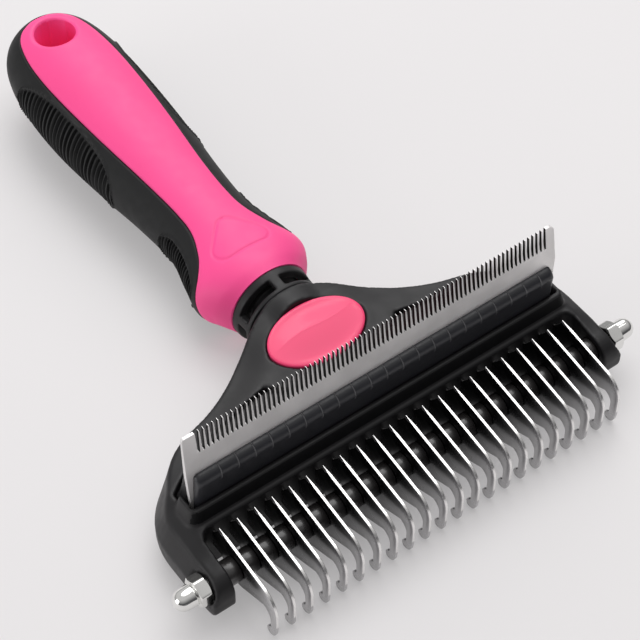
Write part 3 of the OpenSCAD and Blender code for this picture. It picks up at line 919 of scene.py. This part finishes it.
def rake_loop():
    rise = 9.4
    slope = math.tan(math.radians(rise))
    corner = 8.78 + 6 / math.cos(math.radians(rise)) + slope * (18.6 - 3.98)
    loop = [(22.4, 13.6), (20.6, 13.6), (19.0, corner - 1.4), (18.6, corner)]
    loop += [(s, corner - slope * (18.6 - s)) for s in (17.6, 16.6, 15.4, 12, 8)]
    loop += arc((3.98, 8.78), 6, 90 + rise, 180, 16)
    loop += bezier((-2.02, 5.6), (-2.02, 3.2), (-1.9, 0.1), (0.1, 0.1), 16)
    loop += arc((0.2, 1.3), 1.2, -85, 62, 12)
    loop += arc((0.8, 3.15), 0.7, 262, 180, 6)
    loop += arc((2.9, 6), 2.8, 180, 105, 10)
    loop += arc((AXLE_S, AXLE_Z), 5.9, 238, 340, 16)
    loop += [(22.4, AXLE_Z + 5.9 * math.sin(math.radians(340)))]
    return loop


def rake_mesh():
    """One blade: flat faces, edges ground back all round and to a point where the spine starts."""
    loop = rake_loop()
    n = len(loop)
    inner = []
    for i in range(n):
        a, b = Vector(loop[i - 1]), Vector(loop[(i + 1) % n])
        along = (b - a).normalized()
        inner.append(tuple(Vector(loop[i]) + Vector((-along.y, along.x)) * 0.28))
    hole = arc((AXLE_S, AXLE_Z), BORE_R, 0, 345, 23)
    chords = [(inner[i], inner[(i + 1) % n]) for i in range(n)]
    flat, tris = flat_sheet(loop, [hole], chords)
    start = loop[3]
    edge = {(round(s, 3), round(z, 3)) for s, z in loop}

    def half(s, z):
        if (round(s, 3), round(z, 3)) not in edge:
            return BLADE_T / 2
        away = math.hypot(s - start[0], z - start[1])
        return BLADE_T / 2 - 0.17 - 0.24 * max(0, 1 - away / 3.2)

    def side(s, z, way):
        return (way * half(s, z), s, z)

    return thick_sheet(flat, tris, lambda s, z: side(s, z, 1), lambda s, z: side(s, z, -1))


points, faces = rake_mesh()
blade_mesh = None
for i in range(BLADES):
    name = f"rake_blade_{i + 1:02d}"
    if blade_mesh is None:
        obj = piece(f"hook_{i + 1:02d}", points, faces, RAKE, name)
        tidy(obj)
        obj.data.set_sharp_from_angle(angle=math.radians(35))
        blade_mesh = obj.data
        # Painted highlight: ground edges that face up, above 4.5 mm, take the lighter steel
        # instead of the faces' shaded colour
        blade_mesh.materials.append(EDGE_HIGHLIGHT)
        for face in blade_mesh.polygons:
            ground = abs(face.normal.x) < 0.4 and face.normal.z > -0.1
            face.material_index = int(ground and face.center.z > 4.5 * MM)
        obj.location.x = -RAKE_HALF * MM
        bpy.context.view_layer.update()
        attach(obj, "rake")
        continue
    obj = bpy.data.objects.new(f"hook_{i + 1:02d}", blade_mesh)
    bpy.context.scene.collection.objects.link(obj)
    obj.location.x = (i * PITCH - RAKE_HALF) * MM
    declare(obj, name)


def tube_profile(length, r0, r1, edge):
    return [
        (r0, 0), (r1 - edge, 0), (r1 - edge * 0.3, edge * 0.3), (r1, edge),
        (r1, length - edge), (r1 - edge * 0.3, length - edge * 0.3),
        (r1 - edge, length), (r0, length),
    ]


def tube_piece(name, x0, length, node):
    points, faces = lathe(tube_profile(length, BORE_R, 3.0, 0.3), 48, (x0, AXLE_S, AXLE_Z), 0)
    obj = piece(name, points, faces, GLOSS, node)
    tidy(obj)
    obj.data.set_sharp_from_angle(angle=math.radians(50))
    return obj


for i in range(BLADES - 1):
    start = i * PITCH - RAKE_HALF + BLADE_T / 2
    tube_piece(f"sleeve_{i + 1:02d}", start, PITCH - BLADE_T, f"spacer_{i + 1:02d}")
end_gap = BAY_HALF - RAKE_HALF - BLADE_T / 2
tube_piece("sleeve_left", -BAY_HALF, end_gap, "end_spacer_left")
tube_piece("sleeve_right", RAKE_HALF + BLADE_T / 2, end_gap, "end_spacer_right")


def nut_mesh(side):
    """Domed nut: chamfered hexagon, a neck and a dome, with a blind hole from its base."""
    flat, hex_h, dome_r, height = 3.25, 2.95, 2.65, 7.9
    steps = 96
    rows = []
    for k in range(steps):
        a = 2 * math.pi * k / steps
        to_flat = (a + math.pi / 6) % (math.pi / 3) - math.pi / 6
        r = min(flat / math.cos(to_flat), flat * 1.13)
        chamfer = (r - flat) * 0.62
        profile = [
            (0, 6.0), (BORE_R, 5.2), (BORE_R, 0), (flat * 0.95, 0), (min(r, flat), 0.05),
            (r, 0.05 + chamfer), (r, hex_h - chamfer - 0.02), (flat * 0.985, hex_h),
            (dome_r + 0.02, hex_h), (dome_r - 0.14, hex_h + 0.12), (dome_r - 0.1, hex_h + 0.3),
            (dome_r, hex_h + 0.45), (dome_r - 0.1, hex_h + 1.6),
        ]
        profile += [((dome_r - 0.15) * math.cos(t), height - 2.5 + 2.5 * math.sin(t))
                    for t in np.radians((4, 12, 20, 28, 36, 44, 52, 60, 68, 76, 83, 88))]
        rows.append([
            (side * (55.5 + h), AXLE_S + q * math.cos(a), AXLE_Z + q * math.sin(a))
            for q, h in profile
        ])
    columns = len(rows[0])
    points = [p for row in rows for p in row]
    faces = []
    for k in range(steps):
        here, there = k * columns, (k + 1) % steps * columns
        for j in range(columns - 1):
            faces.append((here + j, there + j, there + j + 1, here + j + 1))
    faces.append(tuple(k * columns + columns - 1 for k in range(steps)))
    return points, faces


for side, label in ((-1, "left"), (1, "right")):
    points, faces = nut_mesh(side)
    name, node, body = f"dome_nut_{label}", f"cap_nut_{label}", f"nut_{label}"
    nut = piece(name, points, faces, CHROME, node, body)
    tidy(nut)
    nut.data.set_sharp_from_angle(angle=math.radians(24))

for name in ("axle_rod", "comb_screws", "tang_pin"):
    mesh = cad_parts[name].data
    mesh.materials.clear()
    mesh.materials.append(ROD)


# ---------------------------------------------------------------- stage


def floor_finish():
    f = Finish("floor")
    f.set(
        Base_Color=f.ramp(f.noise(160, 2), (0.475, 0.462, 0.466), (0.49, 0.477, 0.48)),
        Roughness=0.7,
        Normal=f.bump(f.noise(1.2, 2), 4, 0.3),
        Emission_Color=(0.98, 0.965, 0.97, 1),
        Emission_Strength=0.30,
    )
    return f.material


bm = bmesh.new()
bmesh.ops.create_grid(bm, x_segments=4, y_segments=4, size=2.0)
mesh = bpy.data.meshes.new("floor")
bm.to_mesh(mesh)
bm.free()
floor = bpy.data.objects.new("floor", mesh)
floor.data.materials.append(floor_finish())
floor.location.z = -0.00002
bpy.context.scene.collection.objects.link(floor)


def area_light(name, place, aim, size, power, tall=None, colour=(1, 1, 1)):
    lamp = bpy.data.lights.new(name, "AREA")
    lamp.energy, lamp.size, lamp.color = power, size, colour
    if tall:
        lamp.shape, lamp.size_y = "RECTANGLE", tall
    obj = bpy.data.objects.new(name, lamp)
    obj.location = place
    obj.rotation_euler = (Vector(aim) - Vector(place)).to_track_quat("-Z", "Y").to_euler()
    bpy.context.scene.collection.objects.link(obj)


area_light("key", (0.55, 0.75, 0.88), (0, 0, 0), 0.9, 5.0)
area_light("top", (0.3, 0.2, 1.1), (0, 0, 0), 1.0, 5.2, tall=0.8)
area_light("left fill", (-1.0, 0.1, 0.25), (0, 0, 0), 0.6, 2.9)

world = bpy.data.worlds.new("studio")
bpy.context.scene.world = world
world.use_nodes = True
tree = world.node_tree
coord = tree.nodes.new("ShaderNodeTexCoord")
split = tree.nodes.new("ShaderNodeSeparateXYZ")
tree.links.new(coord.outputs["Generated"], split.inputs["Vector"])
ramp = tree.nodes.new("ShaderNodeValToRGB")
ramp.color_ramp.elements[0].position = 0.0
ramp.color_ramp.elements[0].color = (0.12, 0.12, 0.125, 1)
ramp.color_ramp.elements[1].position = 0.7
ramp.color_ramp.elements[1].color = (0.85, 0.84, 0.84, 1)
# Brighter overhead and behind the tool than in front of it
sky = tree.nodes.new("ShaderNodeMath")
sky.operation = "MULTIPLY_ADD"
sky.inputs[1].default_value = 0.35
tree.links.new(split.outputs["Y"], sky.inputs[0])
tree.links.new(split.outputs["Z"], sky.inputs[2])
tree.links.new(sky.outputs["Value"], ramp.inputs["Fac"])
back = tree.nodes["Background"]
tree.links.new(ramp.outputs["Color"], back.inputs["Color"])
back.inputs["Strength"].default_value = 0.72

bpy.context.scene.view_settings.view_transform = "Standard"

camera = bpy.data.cameras.new("camera")
camera.lens, camera.sensor_width = 112.5, 36.0
eye = bpy.data.objects.new("camera", camera)
right = Vector((0.8055, -0.5926, 0))
behind = Vector((-0.3721, -0.5058, 0.7783))
up = behind.cross(right)
eye.matrix_world = Matrix.Translation((-0.1660, -0.26304, 0.3707)) @ Matrix(
    (right, up, behind)
).transposed().to_4x4()
bpy.context.scene.collection.objects.link(eye)
bpy.context.scene.camera = eye
